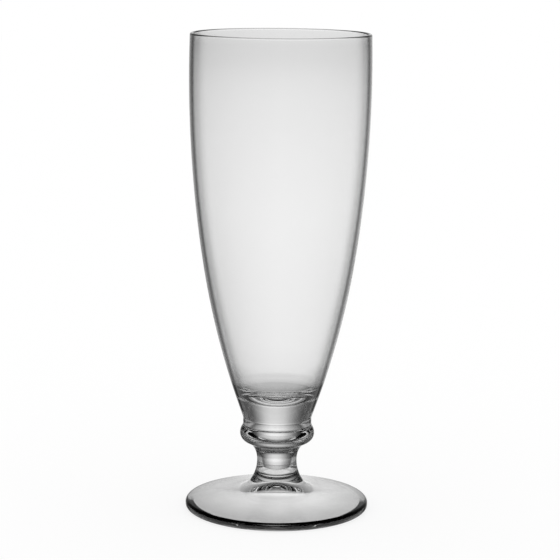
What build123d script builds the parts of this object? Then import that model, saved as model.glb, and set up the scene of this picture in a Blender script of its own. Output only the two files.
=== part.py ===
from build123d import *
import os

# Footed pilsner glass: bowl, collar, stem and foot, each a separate gather of glass.
# The pieces are lathe forms about the Z axis and are fused face to face, one on top
# of the other. Millimetres, +Z up, origin on the table at the middle of the foot.
# Each outline is drawn as radius (across) and height above the table (up).

# Heights of the four pieces, which stack to the overall height
foot_height = 11.0
stem_height = 15.9
collar_height = 6.95
bowl_height = 156.15

# Bowl, outside: an upright ankle above the crease, a cone, then two long arcs up to the lip
rim_diameter = 70.9
shoulder_diameter = 59.9
shoulder_height = 65.3
ankle_diameter = 27.4
ankle_height = 2.5
ankle_radius = 3.6
cone_angle = 19.2
cone_length = 6.8

# Bowl, inside: the wall grows thicker from the lip down to the round bottom
rim_wall = 1.4
shoulder_wall = 1.6
floor_wall = 2.0
floor_share = 0.105
floor_dish = 5.7
floor_corner_radius = 8.0

# Collar: a bead that leaves the crease at an angle and curls in under its widest place
collar_diameter = 29.8
collar_widest_height = 3.7
collar_base_diameter = 24.0

# Stem: a waist with a tight curve up to the collar and a wide flare down to the foot
waist_diameter = 15.9
waist_height = 8.35
neck_diameter = 17.45
neck_height = 12.33
stem_base_diameter = 21.0

# Foot: conical top, rounded edge, resting ring and a conical hollow with a push-up
foot_diameter = 73.4
foot_edge_height = 3.2
foot_edge_round = 1.5
edge_round_limit = 0.47
flare_diameter = 31.65
flare_height = 7.45
resting_ring_width = 3.8
resting_ring_round = 0.6
push_up_diameter = 27.0
hollow_height = 3.94
crown_diameter = 10.2
crown_height = 7.44
push_up_height = 9.0

# Seats, from the table upwards
stem_seat = foot_height
collar_seat = stem_seat + stem_height
bowl_seat = collar_seat + collar_height
overall_height = bowl_seat + bowl_height

VERTICAL_UP = (0, 1)
VERTICAL_DOWN = (0, -1)
OUTWARD = (1, 0)

# Points that neighbouring pieces share
crease = (ankle_diameter / 2, bowl_seat)
collar_base = (collar_base_diameter / 2, collar_seat)
stem_base = (stem_base_diameter / 2, stem_seat)
waist = (waist_diameter / 2, stem_seat + waist_height)

os.makedirs("parts", exist_ok=True)

# Bowl: solid below its floor, a thin tapering wall above it
with BuildPart() as bowl:
    lip_radius = rim_wall / 2
    rim_outside = (rim_diameter / 2, overall_height - lip_radius)
    rim_top = (rim_diameter / 2 - lip_radius, overall_height)
    rim_inside = (rim_diameter / 2 - rim_wall, overall_height - lip_radius)
    shoulder_level = bowl_seat + shoulder_height
    shoulder_outside = (shoulder_diameter / 2, shoulder_level)
    shoulder_inside = (shoulder_diameter / 2 - shoulder_wall, shoulder_level)
    with BuildSketch(Plane.XZ) as bowl_section:
        with BuildLine():
            # Outside, from the crease up to the lip
            ankle = Line(crease, (ankle_diameter / 2, bowl_seat + ankle_height))
            ankle_curve = JernArc(ankle @ 1, VERTICAL_UP, ankle_radius, -cone_angle)
            cone = PolarLine(ankle_curve @ 1, cone_length, direction=ankle_curve % 1)
            lower_curve = TangentArc(cone @ 1, shoulder_outside, tangent=cone % 1)
            TangentArc(shoulder_outside, rim_outside, tangent=lower_curve % 1)
            # Fire-polished lip
            ThreePointArc(rim_outside, rim_top, rim_inside)
            # Inside, from the floor's edge a little way up the lower curve to the lip
            floor_level = (lower_curve @ floor_share).Y
            floor_corner = ((lower_curve @ floor_share).X - floor_wall, floor_level)
            inner_curve = TangentArc(floor_corner, shoulder_inside, tangent=lower_curve % floor_share)
            TangentArc(shoulder_inside, rim_inside, tangent=inner_curve % 1)
            # Round bottom and the solid base under it
            floor_middle = (0, floor_level - floor_dish)
            TangentArc(floor_middle, floor_corner, tangent=OUTWARD)
            Polyline(floor_middle, (0, bowl_seat), crease)
        make_face()
        corner = bowl_section.vertices().sort_by_distance(floor_corner)[0]
        fillet(corner, radius=floor_corner_radius)
    revolve(axis=Axis.Z)
bowl.part.label = "bowl"
export_step(bowl.part, "parts/bowl.step")

# Collar: both curves leave the widest place upright, so the bead stays smooth there
with BuildPart() as collar:
    collar_widest = (collar_diameter / 2, collar_seat + collar_widest_height)
    with BuildSketch(Plane.XZ):
        with BuildLine():
            TangentArc(collar_widest, crease, tangent=VERTICAL_UP)
            TangentArc(collar_widest, collar_base, tangent=VERTICAL_DOWN)
            Polyline(collar_base, (0, collar_seat), (0, bowl_seat), crease)
        make_face()
    revolve(axis=Axis.Z)
collar.part.label = "collar"
export_step(collar.part, "parts/collar.step")

# Stem: both curves leave the waist upright, so the waist stays smooth
with BuildPart() as stem:
    neck = (neck_diameter / 2, stem_seat + neck_height)
    with BuildSketch(Plane.XZ):
        with BuildLine():
            upper_waist = TangentArc(waist, neck, tangent=VERTICAL_UP)
            TangentArc(neck, collar_base, tangent=upper_waist % 1)
            flare = TangentArc(waist, stem_base, tangent=VERTICAL_DOWN)
            Polyline(collar_base, (0, collar_seat), (0, stem_seat), stem_base)
        make_face()
    revolve(axis=Axis.Z)
stem.part.label = "stem"
export_step(stem.part, "parts/stem.step")

# Foot: carries the stem's flare on to a conical top, and is hollow underneath
with BuildPart() as foot:
    foot_radius = foot_diameter / 2
    ring_inside = (foot_radius - resting_ring_width, 0)
    flare_end = (flare_diameter / 2, flare_height)
    push_up_edge = (push_up_diameter / 2, hollow_height)
    push_up_crown = (crown_diameter / 2, crown_height)
    push_up_top = (0, push_up_height)
    edge_top = (foot_radius, foot_edge_height)
    edge_bottom = (foot_radius, 0)
    with BuildSketch(Plane.XZ) as foot_section:
        with BuildLine():
            # Conical top
            flare_tangent = (flare % 1).X, (flare % 1).Y
            TangentArc(stem_base, flare_end, tangent=flare_tangent)
            Polyline(flare_end, edge_top, edge_bottom, ring_inside)
            # Conical hollow, which runs into a bell-shaped push-up in the middle
            hollow = Line(push_up_edge, ring_inside)
            Spline(push_up_top, push_up_crown, push_up_edge, tangents=(OUTWARD, hollow % 0))
            Polyline(push_up_top, (0, stem_seat), stem_base)
        make_face()
        edge_round = min(foot_edge_round, edge_round_limit * foot_edge_height)
        for corner in (edge_top, edge_bottom):
            fillet(foot_section.vertices().sort_by_distance(corner)[0], radius=edge_round)
        fillet(foot_section.vertices().sort_by_distance(ring_inside)[0], radius=resting_ring_round)
    revolve(axis=Axis.Z)
foot.part.label = "foot"
export_step(foot.part, "parts/foot.step")
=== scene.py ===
import math

import bpy
from bpy.props import FloatProperty, IntProperty, PointerProperty, StringProperty
from mathutils import Euler, Matrix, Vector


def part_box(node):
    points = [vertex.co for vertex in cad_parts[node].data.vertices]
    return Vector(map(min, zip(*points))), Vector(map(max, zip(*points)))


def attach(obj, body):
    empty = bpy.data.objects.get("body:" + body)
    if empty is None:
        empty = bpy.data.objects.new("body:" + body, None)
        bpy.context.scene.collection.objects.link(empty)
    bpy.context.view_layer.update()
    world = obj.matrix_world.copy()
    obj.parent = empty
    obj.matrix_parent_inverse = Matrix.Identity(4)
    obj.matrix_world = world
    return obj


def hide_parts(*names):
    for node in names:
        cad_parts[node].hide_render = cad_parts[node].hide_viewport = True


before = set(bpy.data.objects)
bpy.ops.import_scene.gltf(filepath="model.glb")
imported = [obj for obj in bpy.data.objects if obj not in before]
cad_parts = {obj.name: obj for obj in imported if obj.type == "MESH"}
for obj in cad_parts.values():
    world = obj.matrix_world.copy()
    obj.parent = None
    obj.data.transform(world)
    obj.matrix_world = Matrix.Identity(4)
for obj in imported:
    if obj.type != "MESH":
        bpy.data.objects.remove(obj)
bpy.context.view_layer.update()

bl_info = {
    "name": "Footed pilsner glass",
    "version": (1, 0, 0),
    "blender": (4, 5, 0),
    "location": "3D View > Sidebar > Pilsner glass",
    "description": "Turns the bowl, collar, stem and foot of a clear beer glass, and lights them",
    "category": "Object",
}

MM = 0.001
BOWL_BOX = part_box("bowl")
COLLAR_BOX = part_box("collar")
STEM_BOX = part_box("stem")
FOOT_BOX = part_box("foot")
WHITE = "#FFFFFF"


def length(name, description, millimetres):
    """A size in millimetres as a property in metres."""
    return FloatProperty(name=name, description=description, default=millimetres * MM, unit="LENGTH",
                         precision=4)


def angle(name, description, degrees):
    """An angle in degrees as a property in radians."""
    return FloatProperty(name=name, description=description, default=math.radians(degrees), subtype="ANGLE")


def tint(name, description, hex_value):
    """A colour as a property that holds its sRGB hex value."""
    return StringProperty(name=name, description=description + ", as an sRGB hex value", default=hex_value)


def level(box, end):
    """Height of a CAD node's lower (0) or upper (1) end, in millimetres."""
    return box[end][2] / MM


def width(box):
    """Widest diameter of a CAD node, in millimetres."""
    return (box[1][0] - box[0][0]) / MM


# Sizes and finishes that a user would change

class PilsnerBowlSizes(bpy.types.PropertyGroup):
    seat: length("Seat", "Height of the crease where the bowl meets the collar", level(BOWL_BOX, 0))
    top: length("Top", "Height of the lip", level(BOWL_BOX, 1))
    rim_diameter: length("Rim diameter", "Outside diameter at the lip", 70.9)
    rim_wall: length("Rim wall", "Wall at the lip, which is rounded over", 1.4)
    shoulder_diameter: length("Shoulder diameter", "Outside diameter where the two long arcs meet", 59.9)
    shoulder_height: length("Shoulder height", "Height of that point above the seat", 65.3)
    shoulder_wall: length("Shoulder wall", "Wall at the shoulder", 1.6)
    ankle_diameter: length("Ankle diameter", "Diameter of the upright ankle above the seat", 27.4)
    ankle_height: length("Ankle height", "Height of the ankle's upright run above the seat", 2.5)
    ankle_radius: length("Ankle radius", "Radius of the curve from the ankle to the cone", 3.6)
    crease_round: length("Crease round", "Radius of the hollow between the ankle and the collar's bead", 3.4)
    cone_angle: angle("Cone angle", "Lean of the cone above the ankle", 19.2)
    cone_length: length("Cone length", "Straight run of the cone", 6.8)
    floor_share: FloatProperty(name="Floor share", description="How far up the lower arc the floor starts",
                               default=0.105, subtype="FACTOR", min=0.0, max=1.0)
    floor_wall: length("Floor wall", "Wall at the edge of the floor", 2.0)
    floor_dish: length("Floor dish", "Depth of the round bottom below its edge", 5.7)
    floor_corner: length("Floor corner", "Radius of the corner between wall and bottom", 8.0)


class PilsnerCollarSizes(bpy.types.PropertyGroup):
    seat: length("Seat", "Height of the collar's lower end", level(COLLAR_BOX, 0))
    diameter: length("Diameter", "Widest diameter of the bead", width(COLLAR_BOX))
    widest_height: length("Widest height", "Height of the widest place above the seat", 3.7)
    base_diameter: length("Base diameter", "Diameter where the collar meets the stem", 24.0)


class PilsnerStemSizes(bpy.types.PropertyGroup):
    seat: length("Seat", "Height of the stem's lower end", level(STEM_BOX, 0))
    waist_diameter: length("Waist diameter", "Narrowest diameter", 15.9)
    waist_height: length("Waist height", "Height of the waist above the seat", 8.35)
    neck_diameter: length("Neck diameter", "Diameter where the curve tightens under the collar", 17.45)
    neck_height: length("Neck height", "Height of that place above the seat", 12.33)
    base_diameter: length("Base diameter", "Diameter where the stem runs into the foot", 21.0)


class PilsnerFootSizes(bpy.types.PropertyGroup):
    diameter: length("Diameter", "Diameter of the foot", width(FOOT_BOX))
    edge_height: length("Edge height", "Height of the edge before it is rounded", 3.2)
    edge_round: length("Edge round", "Radius of both roundings of the edge", 1.5)
    flare_diameter: length("Flare diameter", "Diameter where the flare meets the conical top", 31.65)
    flare_height: length("Flare height", "Height of that place above the table", 7.45)
    ring_width: length("Ring width", "From the edge to the inside of the resting ring", 3.8)
    ring_round: length("Ring round", "Radius at the inside of the resting ring", 0.6)
    push_up_diameter: length("Push-up diameter", "Diameter where the push-up leaves the hollow", 27.0)
    hollow_height: length("Hollow height", "Height of the hollow at that place", 3.94)
    crown_diameter: length("Crown diameter", "Diameter at the shoulder of the push-up", 10.2)
    crown_height: length("Crown height", "Height of that shoulder", 7.44)
    push_up_height: length("Push-up height", "Height of the push-up in the middle", 9.0)


class PilsnerLook(bpy.types.PropertyGroup):
    segments: IntProperty(name="Segments", description="Steps of the lathe round the glass", default=240,
                          min=48)
    fineness: length("Fineness", "Longest step along a curve of the outline", 2.5)
    bend: angle("Bend", "Largest turn between two steps of the outline", 3.0)
    bowl_tint: tint("Bowl tint", "Colour of the blown wall seen square on", "#FCFCFC")
    # Painted shade that greys the blown wall where it is seen aslant and edge on
    wall_aslant_painted_shade: tint("Side tint", "Colour of the blown wall seen aslant", "#F4F4F4")
    wall_edge_painted_shade: tint("Edge tint", "Colour of the blown wall seen edge on", "#9A9A9A")
    # Painted shade on thick glass seen edge on
    thick_edge_painted_shade: tint("Thick tint", "Colour of thick glass seen edge on", "#595959")
    # Below these heights the outside of the bowl takes the thick glass's painted edge shade
    thick_height: length("Thick height", "Height below which the blown glass is thick", 52.0)
    thin_height: length("Thin height", "Height above which it is thin", 62.0)
    wave_size: length("Wave size", "Width of the waves that blowing leaves in the wall", 14.0)
    wave_depth: length("Wave depth", "Depth of those waves", 0.004)
    solid_tint: tint("Solid tint", "Colour of the thick glass", "#F2F2F2")
    cord_tint: tint("Cord tint", "Colour of its clearest bands", "#FAFAFA")
    cord_size: length("Cord size", "Width of those bands", 12.0)
    # Painted shade that greys the foot towards its edge
    rim_painted_shade_tint: tint("Rim tint", "Colour of the foot at its edge", "#C3C3C3")
    rim_shade_start: length("Rim start", "Radius where the foot starts to grey towards its edge", 20.0)
    rim_shade_end: length("Rim end", "Radius where it is greyest", width(FOOT_BOX) / 2)
    skin_size: length("Skin size", "Width of the uneven places that the mould leaves", 5.0)
    skin_depth: length("Skin depth", "Depth of those places", 0.006)
    ior: FloatProperty(name="Refractive index", description="Of soda-lime glass", default=1.52)


class PilsnerStage(bpy.types.PropertyGroup):
    distance: length("Camera distance", "From the axis of the glass, along the table", 802.5)
    height: length("Camera height", "Above the table", 236.4)
    pitch: angle("Camera pitch", "How far the camera looks down", 10.16)
    roll: angle("Camera roll", "How far the camera leans", 0.574)
    sensor_width: FloatProperty(name="Sensor width", description="Of the camera, in millimetres",
                                default=36.0)
    focal_length: FloatProperty(name="Focal length", description="Of its lens, in millimetres",
                                default=132.17)
    shift: FloatProperty(name="Shift", description="Sideways shift of the picture, as a share of its width",
                         default=0.00243)
    floor_side: length("Floor side", "Side of the square floor", 6000.0)


# Outlines, as lists of (radius, height) in metres

def turn(vector, by):
    """The plane vector turned to the left by an angle."""
    c, s = math.cos(by), math.sin(by)
    return (vector[0] * c - vector[1] * s, vector[0] * s + vector[1] * c)


def steps(run, by):
    """How many straight steps stand for a curve of that length that turns by that angle."""
    look = bpy.context.scene.pilsner_look
    return max(2, math.ceil(run / look.fineness), math.ceil(abs(by) / look.bend))


def turning_arc(start, tangent, radius, by):
    """Points after start on an arc that leaves along tangent and turns by an angle, and its last tangent."""
    size = math.hypot(*tangent)
    tangent = (tangent[0] / size, tangent[1] / size)
    side = 1 if by > 0 else -1
    centre = (start[0] - tangent[1] * radius * side, start[1] + tangent[0] * radius * side)
    spoke = (start[0] - centre[0], start[1] - centre[1])
    count = steps(radius * abs(by), by)
    points = []
    for i in range(1, count + 1):
        x, y = turn(spoke, by * i / count)
        points.append((centre[0] + x, centre[1] + y))
    return points, turn(tangent, by)


def arc_to(start, end, tangent):
    """Points after start on the arc to end that leaves along tangent, and its last tangent."""
    chord = (end[0] - start[0], end[1] - start[1])
    half = math.atan2(tangent[0] * chord[1] - tangent[1] * chord[0],
                      tangent[0] * chord[0] + tangent[1] * chord[1])
    radius = math.hypot(*chord) / (2 * abs(math.sin(half)))
    points, last = turning_arc(start, tangent, radius, 2 * half)
    points[-1] = end
    return points, last


def rounded(before, corner, after, radius):
    """Points of a rounding at a corner between two straight runs."""
    a = math.atan2(before[1] - corner[1], before[0] - corner[0])
    b = math.atan2(after[1] - corner[1], after[0] - corner[0])
    opening = abs((b - a + math.pi) % (2 * math.pi) - math.pi)
    cut = radius / math.tan(opening / 2)
    start = (corner[0] + cut * math.cos(a), corner[1] + cut * math.sin(a))
    end = (corner[0] + cut * math.cos(b), corner[1] + cut * math.sin(b))
    points, _ = arc_to(start, end, (corner[0] - start[0], corner[1] - start[1]))
    return [start] + points


def eased(points, corner, radius):
    """The run with its corner rounded to that radius, tangent to the run on both sides."""
    at = points.index(corner)
    rounding = rounded(points[at - 1], corner, points[at + 1], radius)
    reach = math.dist(rounding[0], corner)
    kept_before = [point for point in points[:at] if math.dist(point, corner) > reach]
    kept_after = [point for point in points[at + 1:] if math.dist(point, corner) > reach]
    return kept_before + rounding + kept_after


def straight(start, end):
    """Points after start on a straight run."""
    count = steps(math.dist(start, end), 0)
    return [(start[0] + (end[0] - start[0]) * i / count, start[1] + (end[1] - start[1]) * i / count)
            for i in range(1, count + 1)]


# The turn that each half of a smooth run is taken to make, which sets how many steps it gets
SMOOTH_TURN = math.radians(60)


def smooth_run(knots, first, last):
    """Points after the first knot on a curve through three knots, with given directions at both ends."""
    (x0, y0), (x1, y1), (x2, y2) = knots
    near, far = x1 - x0, x2 - x1
    s0, s2 = first[1] / first[0], last[1] / last[0]
    # The middle slope that keeps the bend continuous through the middle knot
    s1 = (3 * ((y1 - y0) / near**2 + (y2 - y1) / far**2) - s0 / near - s2 / far) / (2 / near + 2 / far)
    points = []
    for (xa, ya, sa), (xb, yb, sb) in (((x0, y0, s0), (x1, y1, s1)), ((x1, y1, s1), (x2, y2, s2))):
        run = xb - xa
        count = steps(math.dist((xa, ya), (xb, yb)), SMOOTH_TURN)
        for i in range(1, count + 1):
            t = i / count
            rise_a = ya * (1 + 2 * t) * (1 - t)**2 + sa * run * t * (1 - t)**2
            rise_b = yb * t * t * (3 - 2 * t) + sb * run * t * t * (t - 1)
            points.append((xa + run * t, rise_a + rise_b))
    return points


def along(points, share):
    """The point a share of the way along a run of points, and the direction there."""
    runs = [math.dist(a, b) for a, b in zip(points, points[1:])]
    left = share * sum(runs)
    for a, b, run in zip(points, points[1:], runs):
        if left <= run:
            t = left / run
            return (a[0] + (b[0] - a[0]) * t, a[1] + (b[1] - a[1]) * t), (b[0] - a[0], b[1] - a[1])
        left -= run
    raise ValueError("The share lies beyond the run.")


def crease_arc(bowl, collar):
    """The hollow that touches the collar's bead and the bowl's ankle: the bead's radius, the turn at which
    the bead runs into the hollow, the hollow's turn from the seat to the ankle, and its point at the seat."""
    widest = (collar.diameter / 2, collar.seat + collar.widest_height)
    inset, rise = widest[0] - bowl.ankle_diameter / 2, bowl.seat - widest[1]
    bead = (inset**2 + rise**2) / (2 * inset)
    centre = bowl.ankle_diameter / 2 + bowl.crease_round
    reach = centre - widest[0] + bead
    lift = math.sqrt((bead + bowl.crease_round)**2 - reach**2)
    seat_turn = math.asin((lift - rise) / bowl.crease_round)
    crease = (centre - bowl.crease_round * math.cos(seat_turn), bowl.seat)
    return bead, math.atan2(lift, reach), seat_turn, crease


def bowl_outline(bowl, collar):
    """Up the outside from the seat, over the lip, down the inside and across the round bottom."""
    _, _, seat_turn, crease = crease_arc(bowl, collar)
    leave = (-math.sin(seat_turn), math.cos(seat_turn))
    hollow, _ = turning_arc(crease, leave, bowl.crease_round, -seat_turn)
    ankle = (bowl.ankle_diameter / 2, bowl.seat + bowl.ankle_height)
    lip = bowl.rim_wall / 2
    rim_outside = (bowl.rim_diameter / 2, bowl.top - lip)
    rim_inside = (bowl.rim_diameter / 2 - bowl.rim_wall, bowl.top - lip)
    shoulder = (bowl.shoulder_diameter / 2, bowl.seat + bowl.shoulder_height)
    shoulder_inside = (shoulder[0] - bowl.shoulder_wall, shoulder[1])
    ankle_run, lean = turning_arc(ankle, (0, 1), bowl.ankle_radius, -bowl.cone_angle)
    cone = bowl.cone_length
    cone_top = (ankle_run[-1][0] + lean[0] * cone, ankle_run[-1][1] + lean[1] * cone)
    lower, lower_end = arc_to(cone_top, shoulder, lean)
    upper, _ = arc_to(shoulder, rim_outside, lower_end)
    lip_run, _ = turning_arc(rim_outside, (0, 1), lip, math.pi)
    lip_run[-1] = rim_inside
    floor_edge, floor_lean = along([cone_top] + lower, bowl.floor_share)
    floor_corner = (floor_edge[0] - bowl.floor_wall, floor_edge[1])
    floor_middle = (0, floor_corner[1] - bowl.floor_dish)
    wall_low, wall_end = arc_to(floor_corner, shoulder_inside, floor_lean)
    wall_high, _ = arc_to(shoulder_inside, rim_inside, wall_end)
    dish, _ = arc_to(floor_middle, floor_corner, (1, 0))
    inside = [floor_middle, *dish[:-1], floor_corner, *wall_low[:-1], *wall_high]
    inside = eased(inside, floor_corner, bowl.floor_corner)
    seat = (0, bowl.seat)
    outside = [seat, *straight(seat, crease), *hollow, *straight(hollow[-1], ankle), *ankle_run,
               *straight(ankle_run[-1], cone_top), *lower, *upper, *lip_run]
    return outside + inside[::-1][1:]


def collar_outline(collar, bowl):
    """From the axis under the bowl out to the crease, round the bead and in again above the stem."""
    widest = (collar.diameter / 2, collar.seat + collar.widest_height)
    base = (collar.base_diameter / 2, collar.seat)
    radius, leave, seat_turn, crease = crease_arc(bowl, collar)
    over, lean = turning_arc(widest, (0, 1), radius, leave)
    hollow, _ = turning_arc(over[-1], lean, bowl.crease_round, seat_turn - leave)
    hollow[-1] = crease
    under, _ = arc_to(widest, base, (0, -1))
    bead = [widest, *over, *hollow][::-1] + under
    top = (0, bowl.seat)
    return [top, *straight(top, crease), *bead[1:], *straight(base, (0, collar.seat))]


def stem_outline(stem, collar):
    """From the axis under the collar out to its edge, in at the waist and out along the flare."""
    base = (stem.base_diameter / 2, stem.seat)
    waist = (stem.waist_diameter / 2, stem.seat + stem.waist_height)
    neck = (stem.neck_diameter / 2, stem.seat + stem.neck_height)
    top = (collar.base_diameter / 2, collar.seat)
    above, above_end = arc_to(waist, neck, (0, 1))
    tight, _ = arc_to(neck, top, above_end)
    flare, _ = arc_to(waist, base, (0, -1))
    up = [waist, *above, *tight]
    middle = (0, top[1])
    return [middle, *straight(middle, top), *up[::-1][1:], *flare, *straight(base, (0, stem.seat))]


def foot_outline(foot, stem):
    """Down the conical top, round the edge, across the resting ring and up the hollow underside."""
    stem_base = (stem.base_diameter / 2, stem.seat)
    waist = (stem.waist_diameter / 2, stem.seat + stem.waist_height)
    _, flare_end = arc_to(waist, stem_base, (0, -1))
    radius = foot.diameter / 2
    flare = (foot.flare_diameter / 2, foot.flare_height)
    edge_top, edge_bottom = (radius, foot.edge_height), (radius, 0)
    ring = (radius - foot.ring_width, 0)
    hollow = (foot.push_up_diameter / 2, foot.hollow_height)
    crown = (foot.crown_diameter / 2, foot.crown_height)
    middle = (0, foot.push_up_height)
    top_run, _ = arc_to(stem_base, flare, flare_end)
    upper_round = rounded(flare, edge_top, edge_bottom, foot.edge_round)
    lower_round = rounded(edge_top, edge_bottom, ring, foot.edge_round)
    ring_round = rounded(edge_bottom, ring, hollow, foot.ring_round)
    hollow_lean = (ring[0] - hollow[0], ring[1] - hollow[1])
    push_up = [middle, *smooth_run((middle, crown, hollow), (1, 0), hollow_lean)]
    seat = (0, stem.seat)
    return [seat, *straight(seat, stem_base), *top_run,
            *straight(flare, upper_round[0]), *upper_round[1:],
            *straight(upper_round[-1], lower_round[0]), *lower_round[1:],
            *straight(lower_round[-1], ring_round[0]), *ring_round[1:],
            *straight(ring_round[-1], hollow), *push_up[::-1][1:]]


# Modelling

MERGE_DISTANCE = 0.002 * MM
SHARP_ANGLE = math.radians(40)


def turned_piece(name, outline):
    """Draw an outline point by point, spin it once round the axis and close it into one shell."""
    bpy.ops.object.select_all(action="DESELECT")
    bpy.ops.mesh.primitive_plane_add(size=MM, location=(0, 0, 0))
    piece = bpy.context.object
    piece.name = name
    piece.data.name = name
    bpy.ops.object.mode_set(mode="EDIT")
    bpy.ops.mesh.select_all(action="SELECT")
    bpy.ops.mesh.merge(type="CENTER")
    bpy.ops.transform.translate(value=(outline[0][0], 0, outline[0][1]))
    for (xa, za), (xb, zb) in zip(outline, outline[1:]):
        bpy.ops.mesh.extrude_region_move(TRANSFORM_OT_translate={"value": (xb - xa, 0, zb - za)})
    bpy.ops.mesh.select_all(action="SELECT")
    bpy.ops.mesh.spin(steps=bpy.context.scene.pilsner_look.segments, angle=2 * math.pi,
                      center=(0, 0, 0), axis=(0, 0, 1))
    bpy.ops.mesh.select_all(action="SELECT")
    bpy.ops.mesh.remove_doubles(threshold=MERGE_DISTANCE)
    bpy.ops.mesh.normals_make_consistent(inside=False)
    bpy.ops.object.mode_set(mode="OBJECT")
    bpy.ops.object.shade_smooth_by_angle(angle=SHARP_ANGLE)
    if any(edge.is_loose for edge in piece.data.edges):
        raise RuntimeError(f"{name} has an edge with no face.")
    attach(piece, "root")
    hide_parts(name)
    return piece


# Materials

# Places on the scale from a surface seen square on (0) to one seen edge on (1), at which the glass ramps lay
# their painted shade
ASLANT = 0.45
EDGE_ON = 0.95
# Where the painted shade on thick glass starts and where it is darkest
THICK_CLEAR = 0.2
THICK_DARK = 0.5
# Waves in the bowl are longer up the axis than they are wide, because the gather was drawn out
WAVE_STRETCH = (1.0, 1.0, 0.2)
# Between these values of the noise, the glass goes from its own tint to that of a cord
CORD_EDGES = (0.35, 0.65)
# A face is a seam if it is this flat and this close to the seam's height
SEAM_FLATNESS = 0.99
SEAM_REACH = 0.01 * MM


def linear(hex_value):
    """An sRGB hex value as a linear colour."""
    parts = [int(hex_value[i:i + 2], 16) / 255 for i in (1, 3, 5)]
    return [c / 12.92 if c <= 0.04045 else ((c + 0.055) / 1.055)**2.4 for c in parts] + [1.0]


def node(tree, kind, settings=None, inputs=None):
    """Add a node, set its settings or a ramp's stops, and give each named input a value or a link."""
    new = tree.nodes.new(kind)
    for key, value in (settings or {}).items():
        if key == "stops":
            elements = new.color_ramp.elements
            elements.remove(elements[1])
            elements[0].position, elements[0].color = value[0]
            for place, colour in value[1:]:
                elements.new(place).color = colour
        else:
            setattr(new, key, value)
    for key, value in (inputs or {}).items():
        if isinstance(value, bpy.types.NodeSocket):
            tree.links.new(value, new.inputs[key])
        else:
            new.inputs[key].default_value = value
    return new


def fresh_material(name):
    """A material of that name with only its output node."""
    material = bpy.data.materials.new(name)
    material.use_nodes = True
    material.node_tree.nodes.clear()
    output = node(material.node_tree, "ShaderNodeOutputMaterial")
    return material, material.node_tree, output


def thick_glass_painted_shade(tree, clear=WHITE):
    """The clear colour where thick glass is seen square on, and painted shade where it is seen edge on."""
    look = bpy.context.scene.pilsner_look
    edge = node(tree, "ShaderNodeLayerWeight", None, {"Blend": 0.5})
    ramp = node(tree, "ShaderNodeValToRGB", {"stops": [
        (THICK_CLEAR, linear(clear)), (THICK_DARK, linear(look.thick_edge_painted_shade))]},
        {"Fac": edge.outputs["Facing"]})
    return ramp.outputs["Color"]


def rim_painted_shade(tree):
    """Painted shade: white in the middle of the foot and grey towards its edge."""
    look = bpy.context.scene.pilsner_look
    place = node(tree, "ShaderNodeTexCoord")
    flat = node(tree, "ShaderNodeMapping", None, {
        "Vector": place.outputs["Object"], "Scale": (1.0, 1.0, 0.0)})
    radius = node(tree, "ShaderNodeVectorMath", {"operation": "LENGTH"}, {0: flat.outputs["Vector"]})
    outward = node(tree, "ShaderNodeMapRange", None, {
        "Value": radius.outputs["Value"], "From Min": look.rim_shade_start, "From Max": look.rim_shade_end})
    ramp = node(tree, "ShaderNodeValToRGB", {"stops": [
        (0.0, linear(WHITE)), (1.0, linear(look.rim_painted_shade_tint))]}, {"Fac": outward.outputs["Result"]})
    return ramp.outputs["Color"]


def blown_glass(name, outside):
    """Soda-lime glass, blown and fire-polished: bright when seen square on and greyed by painted shade where
    the wall is seen edge on. Slow waves from the blowing bend what is seen through it a little. On the
    outside of the thick base the painted shade at its edges is darker than on the wall."""
    look = bpy.context.scene.pilsner_look
    material, tree, output = fresh_material(name)
    place = node(tree, "ShaderNodeTexCoord")
    drawn = node(tree, "ShaderNodeMapping", None, {"Vector": place.outputs["Object"], "Scale": WAVE_STRETCH})
    waves = node(tree, "ShaderNodeTexNoise", None, {
        "Vector": drawn.outputs["Vector"], "Scale": 1 / look.wave_size, "Detail": 1.0})
    bump = node(tree, "ShaderNodeBump", None, {
        "Height": waves.outputs["Fac"], "Distance": look.wave_depth, "Strength": 1.0})
    # Painted shade: the wall greys as it turns edge on
    edge = node(tree, "ShaderNodeLayerWeight", None, {"Blend": 0.5})
    wall = node(tree, "ShaderNodeValToRGB", {"stops": [
        (0.0, linear(look.bowl_tint)), (ASLANT, linear(look.wall_aslant_painted_shade)), (EDGE_ON, linear(look.wall_edge_painted_shade))]},
        {"Fac": edge.outputs["Facing"]})
    colour = wall.outputs["Color"]
    # Below the thick height the outside takes the thick glass's darker painted edge shade
    if outside:
        split = node(tree, "ShaderNodeSeparateXYZ", None, {"Vector": place.outputs["Object"]})
        thickness = node(tree, "ShaderNodeMapRange", None, {
            "Value": split.outputs["Z"], "From Min": look.thin_height, "From Max": look.thick_height})
        blend = node(tree, "ShaderNodeMix", {"data_type": "RGBA"}, {
            0: thickness.outputs["Result"], 6: colour, 7: thick_glass_painted_shade(tree, look.solid_tint)})
        colour = blend.outputs[2]
    shader = node(tree, "ShaderNodeBsdfPrincipled", None, {
        "Base Color": colour, "Roughness": 0.0, "IOR": look.ior, "Transmission Weight": 1.0,
        "Normal": bump.outputs["Normal"]})
    tree.links.new(shader.outputs["BSDF"], output.inputs["Surface"])
    return material


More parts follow.
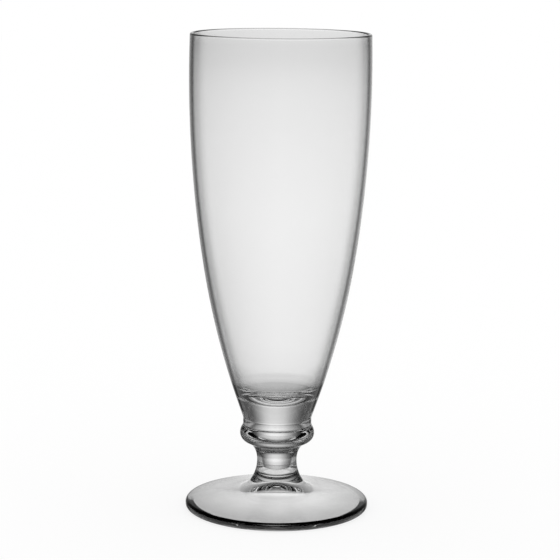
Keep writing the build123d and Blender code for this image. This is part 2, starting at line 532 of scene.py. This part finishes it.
def solid_glass(name, shade):
    """Soda-lime glass, shaped hot in a mould or with tools and fire-polished: clear, with the chill of the
    metal left in it as a faint uneven skin, so that bright and black lines in the thick places break up."""
    look = bpy.context.scene.pilsner_look
    material, tree, output = fresh_material(name)
    place = node(tree, "ShaderNodeTexCoord")
    skin = node(tree, "ShaderNodeTexNoise", None, {
        "Vector": place.outputs["Object"], "Scale": 1 / look.skin_size, "Detail": 1.0})
    bump = node(tree, "ShaderNodeBump", None, {
        "Height": skin.outputs["Fac"], "Distance": look.skin_depth, "Strength": 1.0})
    # Cords, the faint bands of glass of another batch, differ by a shade
    cords = node(tree, "ShaderNodeTexNoise", None, {
        "Vector": place.outputs["Object"], "Scale": 1 / look.cord_size, "Detail": 2.0})
    banded = node(tree, "ShaderNodeValToRGB", {"stops": [
        (CORD_EDGES[0], linear(look.solid_tint)), (CORD_EDGES[1], linear(look.cord_tint))]},
        {"Fac": cords.outputs["Fac"]})
    # The shade passed in is painted shade, laid over the cords' tint
    colour = node(tree, "ShaderNodeMix", {"data_type": "RGBA", "blend_type": "MULTIPLY"}, {
        0: 1.0, 6: banded.outputs["Color"], 7: shade(tree)})
    shader = node(tree, "ShaderNodeBsdfPrincipled", None, {
        "Base Color": colour.outputs[2], "Roughness": 0.0, "IOR": look.ior, "Transmission Weight": 1.0,
        "Normal": bump.outputs["Normal"]})
    tree.links.new(shader.outputs["BSDF"], output.inputs["Surface"])
    return material


def fused_seam(name):
    """The plane where two gathers of hot glass ran together: it can't be seen."""
    material, tree, output = fresh_material(name)
    shader = node(tree, "ShaderNodeBsdfTransparent", None, {"Color": linear(WHITE)})
    tree.links.new(shader.outputs["BSDF"], output.inputs["Surface"])
    return material


def material_named(name, make, *choices):
    """The material of that name, made the first time that it is asked for."""
    return bpy.data.materials.get(name) or make(name, *choices)


def dress(piece, glass, seams, inside=None):
    """Give a piece its glass, the fused seam on its flat faces at the heights in seams, and the inside's
    glass on the faces that lean towards the axis."""
    piece.data.materials.append(glass)
    piece.data.materials.append(material_named("fused_seam", fused_seam))
    if inside:
        piece.data.materials.append(inside)
    seam_faces = 0
    for face in piece.data.polygons:
        flat = abs(face.normal.z) > SEAM_FLATNESS
        if flat and any(abs(face.center.z - seam) < SEAM_REACH for seam in seams):
            face.material_index = 1
            seam_faces += 1
        elif inside and face.normal.x * face.center.x + face.normal.y * face.center.y < 0:
            face.material_index = 2
    if not seam_faces:
        raise RuntimeError(f"{piece.name} has no seam.")


# One operator for each piece and one for the stage

class PILSNER_OT_bowl(bpy.types.Operator):
    """Turn the tall bowl with its thin wall, rounded lip and round bottom"""
    bl_idname = "pilsner.bowl"
    bl_label = "Bowl"

    def execute(self, context):
        scene = context.scene
        piece = turned_piece("bowl", bowl_outline(scene.pilsner_bowl, scene.pilsner_collar))
        outside = material_named("mould_blown_clear_glass", blown_glass, True)
        inside = material_named("free_blown_clear_glass", blown_glass, False)
        dress(piece, outside, [scene.pilsner_bowl.seat], inside)
        return {"FINISHED"}


class PILSNER_OT_collar(bpy.types.Operator):
    """Turn the bead of glass between the bowl and the stem"""
    bl_idname = "pilsner.collar"
    bl_label = "Collar"

    def execute(self, context):
        scene = context.scene
        piece = turned_piece("collar", collar_outline(scene.pilsner_collar, scene.pilsner_bowl))
        glass = material_named("tooled_clear_glass", solid_glass, thick_glass_painted_shade)
        dress(piece, glass, [scene.pilsner_collar.seat, scene.pilsner_bowl.seat])
        return {"FINISHED"}


class PILSNER_OT_stem(bpy.types.Operator):
    """Turn the short waisted stem"""
    bl_idname = "pilsner.stem"
    bl_label = "Stem"

    def execute(self, context):
        scene = context.scene
        piece = turned_piece("stem", stem_outline(scene.pilsner_stem, scene.pilsner_collar))
        glass = material_named("tooled_clear_glass", solid_glass, thick_glass_painted_shade)
        dress(piece, glass, [scene.pilsner_stem.seat, scene.pilsner_collar.seat])
        return {"FINISHED"}


class PILSNER_OT_foot(bpy.types.Operator):
    """Turn the round foot with its conical top, hollow and push-up"""
    bl_idname = "pilsner.foot"
    bl_label = "Foot"

    def execute(self, context):
        scene = context.scene
        piece = turned_piece("foot", foot_outline(scene.pilsner_foot, scene.pilsner_stem))
        glass = material_named("pressed_clear_glass", solid_glass, rim_painted_shade)
        dress(piece, glass, [scene.pilsner_stem.seat])
        return {"FINISHED"}


# What the glass shows of the studio, as a level for an angle in degrees, where 1 is white. Behind the glass
# is a pale backdrop, by azimuth and by elevation, with a dark gap on each side of it. A low pale band runs
# round the rest of the room, by azimuth to either side and by elevation. The table is underneath.
BACKDROP_AZIMUTH = [(-180, .02), (-55, .04), (-32, .105), (-22, .3), (-14, .57), (-7, .87), (0, 1.0),
                    (7, 1.0), (14, .82), (22, .49), (32, .155), (55, .06), (180, .02)]
BACKDROP_ELEVATION = [(-90, .35), (-60, .35), (-45, .5), (-35, .65), (-25, .82), (-18, .84), (-13, 1.0),
                      (-9, 1.02), (-6.5, .96), (-5, .89), (-3.6, .79), (0, .8), (5, .82), (10, .72),
                      (15, .55), (25, .38), (40, .2), (90, .1)]
ROOM_AZIMUTH = [(0, 0), (33, 0), (44, .7), (70, .85), (180, .85)]
ROOM_ELEVATION = [(-90, 0), (-60, .5), (-45, .8), (-28, 1), (-4, 1), (0, .3), (5, 0), (90, 0)]
TABLE_ELEVATION = [(-90, .8), (-60, .8), (-50, .4), (-42, .1), (-34, 0), (90, 0)]
STUDIO_GAIN = 0.98
# Share of the floor's white that the camera sees whatever falls on it, so that the shadow stays faint
FLOOR_GLOW = 0.75
# How often a ray that runs about inside the glass may cross a seam
SEAM_CROSSINGS = 32


class PILSNER_OT_stage(bpy.types.Operator):
    """Lay the pale floor, set the studio light and place the camera"""
    bl_idname = "pilsner.stage"
    bl_label = "Stage"

    def execute(self, context):
        scene = context.scene
        scene.view_settings.view_transform = "Standard"
        self.floor(scene.pilsner_stage)
        self.studio(scene)
        self.camera(scene)
        scene.cycles.transparent_max_bounces = SEAM_CROSSINGS
        return {"FINISHED"}

    def floor(self, stage):
        bpy.ops.object.select_all(action="DESELECT")
        bpy.ops.mesh.primitive_plane_add(size=stage.floor_side, location=(0, 0, 0))
        floor = bpy.context.object
        floor.name = "floor"
        material, tree, output = fresh_material("studio_floor")
        paint = node(tree, "ShaderNodeBsdfDiffuse", None, {"Color": linear(WHITE)})
        glow = node(tree, "ShaderNodeEmission", None, {"Color": linear(WHITE), "Strength": 1.0})
        path = node(tree, "ShaderNodeLightPath")
        share = node(tree, "ShaderNodeMath", {"operation": "MULTIPLY"},
                     {0: path.outputs["Is Camera Ray"], 1: FLOOR_GLOW})
        pale = node(tree, "ShaderNodeMixShader", None,
                    {0: share.outputs[0], 1: paint.outputs["BSDF"], 2: glow.outputs["Emission"]})
        tree.links.new(pale.outputs["Shader"], output.inputs["Surface"])
        floor.data.materials.append(material)
        floor.visible_transmission = False
        floor.visible_glossy = False

    def studio(self, scene):
        world = bpy.data.worlds.new("studio")
        scene.world = world
        world.use_nodes = True
        tree = world.node_tree
        tree.nodes.clear()
        place = node(tree, "ShaderNodeTexCoord")
        split = node(tree, "ShaderNodeSeparateXYZ", None, {"Vector": place.outputs["Generated"]})
        azimuth = node(tree, "ShaderNodeMath", {"operation": "ARCTAN2"},
                       {0: split.outputs["X"], 1: split.outputs["Y"]})
        around = node(tree, "ShaderNodeMapRange", None, {
            "Value": azimuth.outputs[0], "From Min": -math.pi, "From Max": math.pi})
        height = node(tree, "ShaderNodeMath", {"operation": "ARCSINE"}, {0: split.outputs["Z"]})
        upward = node(tree, "ShaderNodeMapRange", None, {
            "Value": height.outputs[0], "From Min": -math.pi / 2, "From Max": math.pi / 2})
        aside = node(tree, "ShaderNodeMath", {"operation": "ABSOLUTE"}, {0: azimuth.outputs[0]})
        away = node(tree, "ShaderNodeMapRange", None, {"Value": aside.outputs[0], "From Max": math.pi})
        # A ramp's places run from 0 to 1, so each table goes with its span in degrees and its place of zero
        levels = []
        for table, span, zero, along_it in ((BACKDROP_AZIMUTH, 360, 0.5, around),
                                            (BACKDROP_ELEVATION, 180, 0.5, upward),
                                            (ROOM_AZIMUTH, 180, 0.0, away),
                                            (ROOM_ELEVATION, 180, 0.5, upward),
                                            (TABLE_ELEVATION, 180, 0.5, upward)):
            stops = [(degrees / span + zero, (grey, grey, grey, 1)) for degrees, grey in table]
            ramp = node(tree, "ShaderNodeValToRGB", {"stops": stops}, {"Fac": along_it.outputs[0]})
            levels.append(ramp.outputs["Color"])
        backdrop = node(tree, "ShaderNodeMath", {"operation": "MULTIPLY"}, {0: levels[0], 1: levels[1]})
        room = node(tree, "ShaderNodeMath", {"operation": "MULTIPLY"}, {0: levels[2], 1: levels[3]})
        walls = node(tree, "ShaderNodeMath", {"operation": "MAXIMUM"},
                     {0: backdrop.outputs[0], 1: room.outputs[0]})
        whole = node(tree, "ShaderNodeMath", {"operation": "MAXIMUM"}, {0: walls.outputs[0], 1: levels[4]})
        shown = node(tree, "ShaderNodeMath", {"operation": "MULTIPLY"}, {0: whole.outputs[0], 1: STUDIO_GAIN})
        path = node(tree, "ShaderNodeLightPath")
        glass = node(tree, "ShaderNodeMath", {"operation": "MAXIMUM"},
                     {0: path.outputs["Is Glossy Ray"], 1: path.outputs["Is Transmission Ray"]})
        strength = node(tree, "ShaderNodeMix", {"data_type": "FLOAT"},
                        {0: glass.outputs[0], 2: 1.0, 3: shown.outputs[0]})
        light = node(tree, "ShaderNodeBackground", None,
                     {"Color": linear(WHITE), "Strength": strength.outputs[0]})
        output = node(tree, "ShaderNodeOutputWorld")
        tree.links.new(light.outputs["Background"], output.inputs["Surface"])

    def camera(self, scene):
        stage = scene.pilsner_stage
        bpy.ops.object.camera_add(location=(0, -stage.distance, stage.height))
        camera = bpy.context.object
        camera.name = "camera"
        aim = Euler((math.pi / 2 - stage.pitch, 0, 0)).to_matrix() @ Matrix.Rotation(stage.roll, 3, "Z")
        camera.rotation_euler = aim.to_euler()
        camera.data.sensor_width = stage.sensor_width
        camera.data.lens = stage.focal_length
        camera.data.shift_x = stage.shift
        scene.camera = camera


class PILSNER_PT_sidebar(bpy.types.Panel):
    """Lists the sizes and the operators in the sidebar"""
    bl_label = "Pilsner glass"
    bl_idname = "PILSNER_PT_sidebar"
    bl_space_type = "VIEW_3D"
    bl_region_type = "UI"
    bl_category = "Pilsner glass"

    def draw(self, context):
        for name in GROUPS:
            group = getattr(context.scene, name)
            column = self.layout.column(align=True)
            for key in group.__annotations__:
                column.prop(group, key)
        for operator in OPERATORS:
            self.layout.operator(operator.bl_idname)


GROUPS = {
    "pilsner_bowl": PilsnerBowlSizes,
    "pilsner_collar": PilsnerCollarSizes,
    "pilsner_stem": PilsnerStemSizes,
    "pilsner_foot": PilsnerFootSizes,
    "pilsner_look": PilsnerLook,
    "pilsner_stage": PilsnerStage,
}
OPERATORS = [PILSNER_OT_bowl, PILSNER_OT_collar, PILSNER_OT_stem, PILSNER_OT_foot, PILSNER_OT_stage]


def register():
    for name, group in GROUPS.items():
        bpy.utils.register_class(group)
        setattr(bpy.types.Scene, name, PointerProperty(type=group))
    for operator in OPERATORS:
        bpy.utils.register_class(operator)
    bpy.utils.register_class(PILSNER_PT_sidebar)


def unregister():
    bpy.utils.unregister_class(PILSNER_PT_sidebar)
    for operator in reversed(OPERATORS):
        bpy.utils.unregister_class(operator)
    for name, group in GROUPS.items():
        delattr(bpy.types.Scene, name)
        bpy.utils.unregister_class(group)


def main():
    register()
    bpy.ops.pilsner.bowl()
    bpy.ops.pilsner.collar()
    bpy.ops.pilsner.stem()
    bpy.ops.pilsner.foot()
    bpy.ops.pilsner.stage()


if __name__ == "__main__":
    main()
